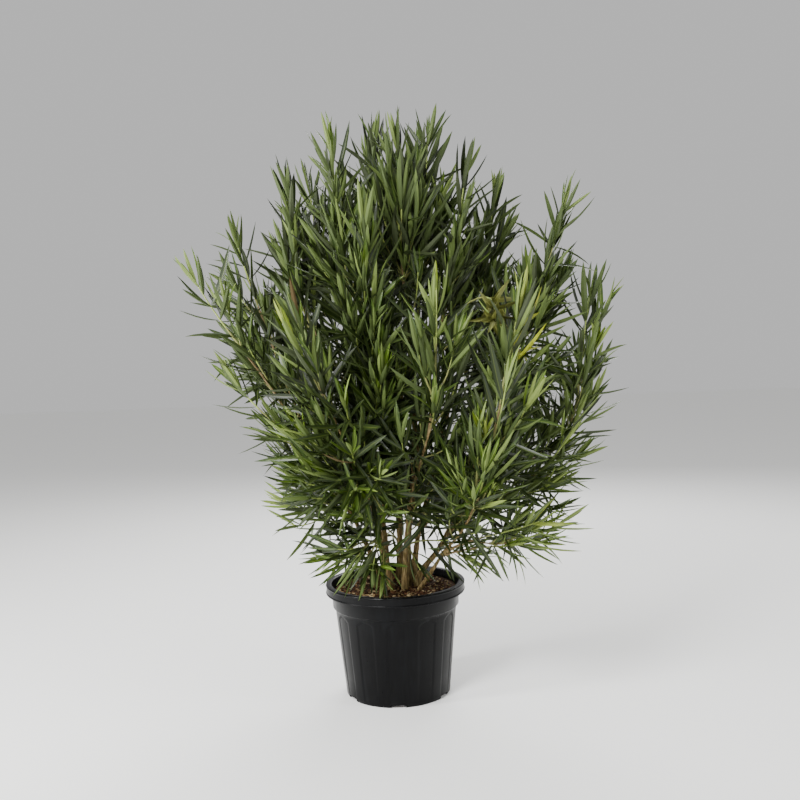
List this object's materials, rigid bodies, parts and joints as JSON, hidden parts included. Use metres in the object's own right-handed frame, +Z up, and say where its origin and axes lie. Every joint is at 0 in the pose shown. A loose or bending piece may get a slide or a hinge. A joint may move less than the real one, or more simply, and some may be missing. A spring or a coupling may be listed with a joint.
{
  "type": "potted oleander shrub",
  "caption": "Many-stemmed evergreen oleander shrub with narrow pointed leaves, growing in a round black plastic nursery pot.",
  "frame": {"origin": "middle of the flat underside of the pot, on the pot's axis", "axes": "+Z up along the pot's axis and the plant's height; -Y towards the side seen from the front; +X to the right of that view"},
  "size_m": [1.0405, 0.8249, 1.414],
  "materials": {
    "pot": "satin",
    "bark_mulch": "matte",
    "bark": "matte",
    "green_bark": "satin",
    "leaf_dark": "satin",
    "leaf_mid": "satin",
    "leaf_young": "satin"
  },
  "bodies": {
    "root": {"pot": "pot", "soil": "bark_mulch", "stem_leader": "bark", "stem_left": "bark", "stem_far_left": "bark", "stem_back_left": "bark", "stem_back": "bark", "stem_back_right": "bark", "stem_right": "bark", "stem_front": "bark", "stem_front_left": "bark", "stem_low_right": "green_bark", "bough_top": "bark", "bough_right_shoulder": "bark", "bough_top_left": "bark", "bough_left_top": "bark", "bough_left_upper": "bark", "bough_left_middle": "bark", "bough_far_right": "bark", "bough_right_low": "bark", "bough_front_right": "bark", "bough_back_left": "bark", "bough_back_middle": "bark", "bough_back_right": "bark", "bough_front_low_right": "bark", "foliage_crown": "leaf_mid", "foliage_top": "leaf_mid", "foliage_top_back": "leaf_dark", "foliage_top_left": "leaf_mid", "foliage_right_shoulder": "leaf_mid", "foliage_left_top": "leaf_dark", "foliage_back_top": "leaf_dark", "foliage_back_left_top": "leaf_dark", "foliage_right_upper": "leaf_dark", "foliage_far_right_top": "leaf_mid", "foliage_left_upper": "leaf_mid", "foliage_far_left": "leaf_young", "foliage_far_right": "leaf_mid", "foliage_back_right": "leaf_dark", "foliage_back_middle": "leaf_dark", "foliage_back_left": "leaf_dark", "foliage_front_right": "leaf_young", "foliage_front": "leaf_young", "foliage_front_left": "leaf_young", "foliage_heart": "leaf_dark", "foliage_heart_right": "leaf_dark", "foliage_left_middle": "leaf_mid", "foliage_right_low": "leaf_mid", "foliage_low_right": "leaf_mid", "foliage_front_low_right": "leaf_mid", "foliage_front_low": "leaf_mid", "foliage_front_low_left": "leaf_mid", "foliage_left_low": "leaf_dark", "foliage_back_low": "leaf_dark", "foliage_back_low_left": "leaf_dark", "foliage_back_low_right": "leaf_dark", "foliage_skirt_left": "leaf_mid", "foliage_skirt_front": "leaf_mid", "foliage_skirt_right": "leaf_mid", "foliage_skirt_back": "leaf_dark"}
  },
  "joints": []
}
